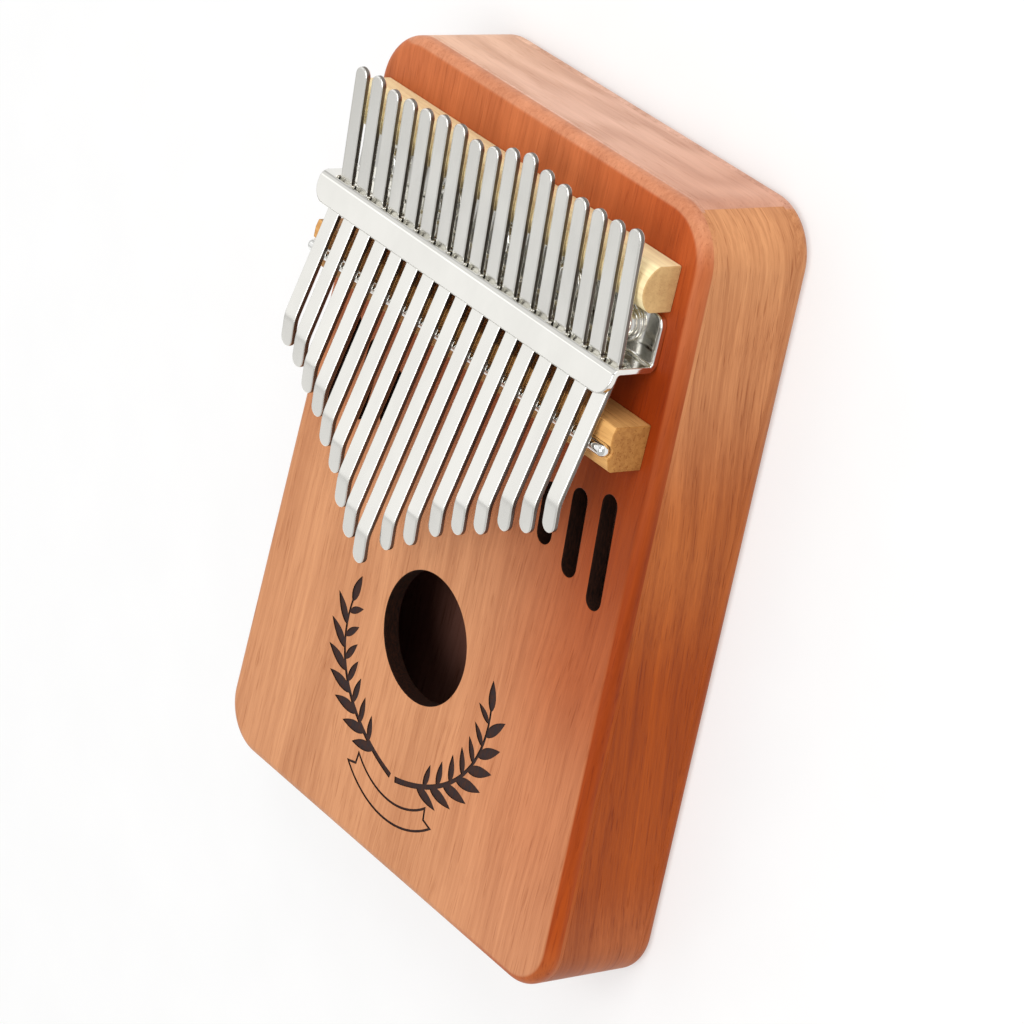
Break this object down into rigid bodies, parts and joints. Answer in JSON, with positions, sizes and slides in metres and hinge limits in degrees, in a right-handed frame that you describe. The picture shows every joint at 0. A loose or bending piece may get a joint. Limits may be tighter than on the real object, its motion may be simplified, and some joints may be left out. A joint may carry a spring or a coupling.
{
  "type": "box kalimba",
  "caption": "Hollow wooden box thumb piano with a round sound hole, side slots and a row of plucked metal tines held by a bracket.",
  "frame": {"origin": "middle of the flat back, in the plane it rests on", "axes": "+Y along the tines towards their tails and the narrow end of the body, +Z out of the soundboard, +X to the right seen from the front with +Y up"},
  "size_m": [0.1302, 0.185, 0.0546],
  "materials": {
    "soundboard_wood": "satin oiled mahogany, grain along the tines",
    "back_wood": "satin oiled mahogany",
    "rail_wood": "satin oiled mahogany, end grain near the corners",
    "block_wood": "raw hardwood",
    "lower_bridge_wood": "smooth oiled hardwood",
    "upper_bridge_wood": "smooth pale hardwood",
    "rod_steel": "polished",
    "bracket_nickel": "polished nickel plate",
    "screw_nickel": "bright nickel plate",
    "tine_steel": "nickel plated spring steel, ground and polished"
  },
  "bodies": {
    "root": {"soundboard": "soundboard_wood", "back_panel": "back_wood", "side_rail_left": "rail_wood", "side_rail_right": "rail_wood", "tail_rail": "rail_wood", "tongue_rail": "rail_wood", "bracket_block": "block_wood", "lower_bridge": "lower_bridge_wood", "upper_bridge": "upper_bridge_wood", "saddle_rod": "rod_steel", "bracket": "bracket_nickel", "bracket_washers": "screw_nickel", "bracket_screws": "screw_nickel"},
    "shank_01": {"tine_01_shank": "tine_steel"},
    "tongue_01": {"tine_01_tongue": "tine_steel"},
    "shank_02": {"tine_02_shank": "tine_steel"},
    "tongue_02": {"tine_02_tongue": "tine_steel"},
    "shank_03": {"tine_03_shank": "tine_steel"},
    "tongue_03": {"tine_03_tongue": "tine_steel"},
    "shank_04": {"tine_04_shank": "tine_steel"},
    "tongue_04": {"tine_04_tongue": "tine_steel"},
    "shank_05": {"tine_05_shank": "tine_steel"},
    "tongue_05": {"tine_05_tongue": "tine_steel"},
    "shank_06": {"tine_06_shank": "tine_steel"},
    "tongue_06": {"tine_06_tongue": "tine_steel"},
    "shank_07": {"tine_07_shank": "tine_steel"},
    "tongue_07": {"tine_07_tongue": "tine_steel"},
    "shank_08": {"tine_08_shank": "tine_steel"},
    "tongue_08": {"tine_08_tongue": "tine_steel"},
    "shank_09": {"tine_09_shank": "tine_steel"},
    "tongue_09": {"tine_09_tongue": "tine_steel"},
    "shank_10": {"tine_10_shank": "tine_steel"},
    "tongue_10": {"tine_10_tongue": "tine_steel"},
    "shank_11": {"tine_11_shank": "tine_steel"},
    "tongue_11": {"tine_11_tongue": "tine_steel"},
    "shank_12": {"tine_12_shank": "tine_steel"},
    "tongue_12": {"tine_12_tongue": "tine_steel"},
    "shank_13": {"tine_13_shank": "tine_steel"},
    "tongue_13": {"tine_13_tongue": "tine_steel"},
    "shank_14": {"tine_14_shank": "tine_steel"},
    "tongue_14": {"tine_14_tongue": "tine_steel"},
    "shank_15": {"tine_15_shank": "tine_steel"},
    "tongue_15": {"tine_15_tongue": "tine_steel"},
    "shank_16": {"tine_16_shank": "tine_steel"},
    "tongue_16": {"tine_16_tongue": "tine_steel"},
    "shank_17": {"tine_17_shank": "tine_steel"},
    "tongue_17": {"tine_17_tongue": "tine_steel"}
  },
  "joints": [
    {"name": "tune_01", "type": "slide", "parent": "root", "child": "shank_01", "axis": [0, -1, 0], "range_m": [-0.001, 0.001]},
    {"name": "pluck_01", "type": "hinge", "parent": "shank_01", "child": "tongue_01", "pos_m": [-0.05124, 0.03946, 0.04318], "axis": [1, 0, 0], "range_deg": [-3, 4], "stiffness_Nm_per_rad": 19.8},
    {"name": "tune_02", "type": "slide", "parent": "root", "child": "shank_02", "axis": [0, -1, 0], "range_m": [-0.001, 0.001]},
    {"name": "pluck_02", "type": "hinge", "parent": "shank_02", "child": "tongue_02", "pos_m": [-0.04496, 0.03946, 0.04318], "axis": [1, 0, 0], "range_deg": [-3, 4], "stiffness_Nm_per_rad": 17.9},
    {"name": "tune_03", "type": "slide", "parent": "root", "child": "shank_03", "axis": [0, -1, 0], "range_m": [-0.001, 0.001]},
    {"name": "pluck_03", "type": "hinge", "parent": "shank_03", "child": "tongue_03", "pos_m": [-0.03868, 0.03946, 0.04318], "axis": [1, 0, 0], "range_deg": [-3, 4], "stiffness_Nm_per_rad": 15.7},
    {"name": "tune_04", "type": "slide", "parent": "root", "child": "shank_04", "axis": [0, -1, 0], "range_m": [-0.001, 0.001]},
    {"name": "pluck_04", "type": "hinge", "parent": "shank_04", "child": "tongue_04", "pos_m": [-0.0324, 0.03946, 0.04318], "axis": [1, 0, 0], "range_deg": [-3, 4], "stiffness_Nm_per_rad": 14.2},
    {"name": "tune_05", "type": "slide", "parent": "root", "child": "shank_05", "axis": [0, -1, 0], "range_m": [-0.001, 0.001]},
    {"name": "pluck_05", "type": "hinge", "parent": "shank_05", "child": "tongue_05", "pos_m": [-0.02612, 0.03946, 0.04318], "axis": [1, 0, 0], "range_deg": [-3, 4], "stiffness_Nm_per_rad": 12.5},
    {"name": "tune_06", "type": "slide", "parent": "root", "child": "shank_06", "axis": [0, -1, 0], "range_m": [-0.001, 0.001]},
    {"name": "pluck_06", "type": "hinge", "parent": "shank_06", "child": "tongue_06", "pos_m": [-0.01984, 0.03946, 0.04318], "axis": [1, 0, 0], "range_deg": [-3, 4], "stiffness_Nm_per_rad": 11.3},
    {"name": "tune_07", "type": "slide", "parent": "root", "child": "shank_07", "axis": [0, -1, 0], "range_m": [-0.001, 0.001]},
    {"name": "pluck_07", "type": "hinge", "parent": "shank_07", "child": "tongue_07", "pos_m": [-0.01356, 0.03946, 0.04318], "axis": [1, 0, 0], "range_deg": [-3, 4], "stiffness_Nm_per_rad": 10},
    {"name": "tune_08", "type": "slide", "parent": "root", "child": "shank_08", "axis": [0, -1, 0], "range_m": [-0.001, 0.001]},
    {"name": "pluck_08", "type": "hinge", "parent": "shank_08", "child": "tongue_08", "pos_m": [-0.00728, 0.03946, 0.04318], "axis": [1, 0, 0], "range_deg": [-3, 4], "stiffness_Nm_per_rad": 9.1},
    {"name": "tune_09", "type": "slide", "parent": "root", "child": "shank_09", "axis": [0, -1, 0], "range_m": [-0.001, 0.001]},
    {"name": "pluck_09", "type": "hinge", "parent": "shank_09", "child": "tongue_09", "pos_m": [-0.001, 0.03946, 0.04318], "axis": [1, 0, 0], "range_deg": [-3, 4], "stiffness_Nm_per_rad": 8.6},
    {"name": "tune_10", "type": "slide", "parent": "root", "child": "shank_10", "axis": [0, -1, 0], "range_m": [-0.001, 0.001]},
    {"name": "pluck_10", "type": "hinge", "parent": "shank_10", "child": "tongue_10", "pos_m": [0.00528, 0.03946, 0.04318], "axis": [1, 0, 0], "range_deg": [-3, 4], "stiffness_Nm_per_rad": 9.7},
    {"name": "tune_11", "type": "slide", "parent": "root", "child": "shank_11", "axis": [0, -1, 0], "range_m": [-0.001, 0.001]},
    {"name": "pluck_11", "type": "hinge", "parent": "shank_11", "child": "tongue_11", "pos_m": [0.01156, 0.03946, 0.04318], "axis": [1, 0, 0], "range_deg": [-3, 4], "stiffness_Nm_per_rad": 10.6},
    {"name": "tune_12", "type": "slide", "parent": "root", "child": "shank_12", "axis": [0, -1, 0], "range_m": [-0.001, 0.001]},
    {"name": "pluck_12", "type": "hinge", "parent": "shank_12", "child": "tongue_12", "pos_m": [0.01784, 0.03946, 0.04318], "axis": [1, 0, 0], "range_deg": [-3, 4], "stiffness_Nm_per_rad": 12.1},
    {"name": "tune_13", "type": "slide", "parent": "root", "child": "shank_13", "axis": [0, -1, 0], "range_m": [-0.001, 0.001]},
    {"name": "pluck_13", "type": "hinge", "parent": "shank_13", "child": "tongue_13", "pos_m": [0.02412, 0.03946, 0.04318], "axis": [1, 0, 0], "range_deg": [-3, 4], "stiffness_Nm_per_rad": 13.3},
    {"name": "tune_14", "type": "slide", "parent": "root", "child": "shank_14", "axis": [0, -1, 0], "range_m": [-0.001, 0.001]},
    {"name": "pluck_14", "type": "hinge", "parent": "shank_14", "child": "tongue_14", "pos_m": [0.0304, 0.03946, 0.04318], "axis": [1, 0, 0], "range_deg": [-3, 4], "stiffness_Nm_per_rad": 14.7},
    {"name": "tune_15", "type": "slide", "parent": "root", "child": "shank_15", "axis": [0, -1, 0], "range_m": [-0.001, 0.001]},
    {"name": "pluck_15", "type": "hinge", "parent": "shank_15", "child": "tongue_15", "pos_m": [0.03668, 0.03946, 0.04318], "axis": [1, 0, 0], "range_deg": [-3, 4], "stiffness_Nm_per_rad": 16.7},
    {"name": "tune_16", "type": "slide", "parent": "root", "child": "shank_16", "axis": [0, -1, 0], "range_m": [-0.001, 0.001]},
    {"name": "pluck_16", "type": "hinge", "parent": "shank_16", "child": "tongue_16", "pos_m": [0.04296, 0.03946, 0.04318], "axis": [1, 0, 0], "range_deg": [-3, 4], "stiffness_Nm_per_rad": 18.5},
    {"name": "tune_17", "type": "slide", "parent": "root", "child": "shank_17", "axis": [0, -1, 0], "range_m": [-0.001, 0.001]},
    {"name": "pluck_17", "type": "hinge", "parent": "shank_17", "child": "tongue_17", "pos_m": [0.04924, 0.03946, 0.04318], "axis": [1, 0, 0], "range_deg": [-3, 4], "stiffness_Nm_per_rad": 21.2}
  ]
}
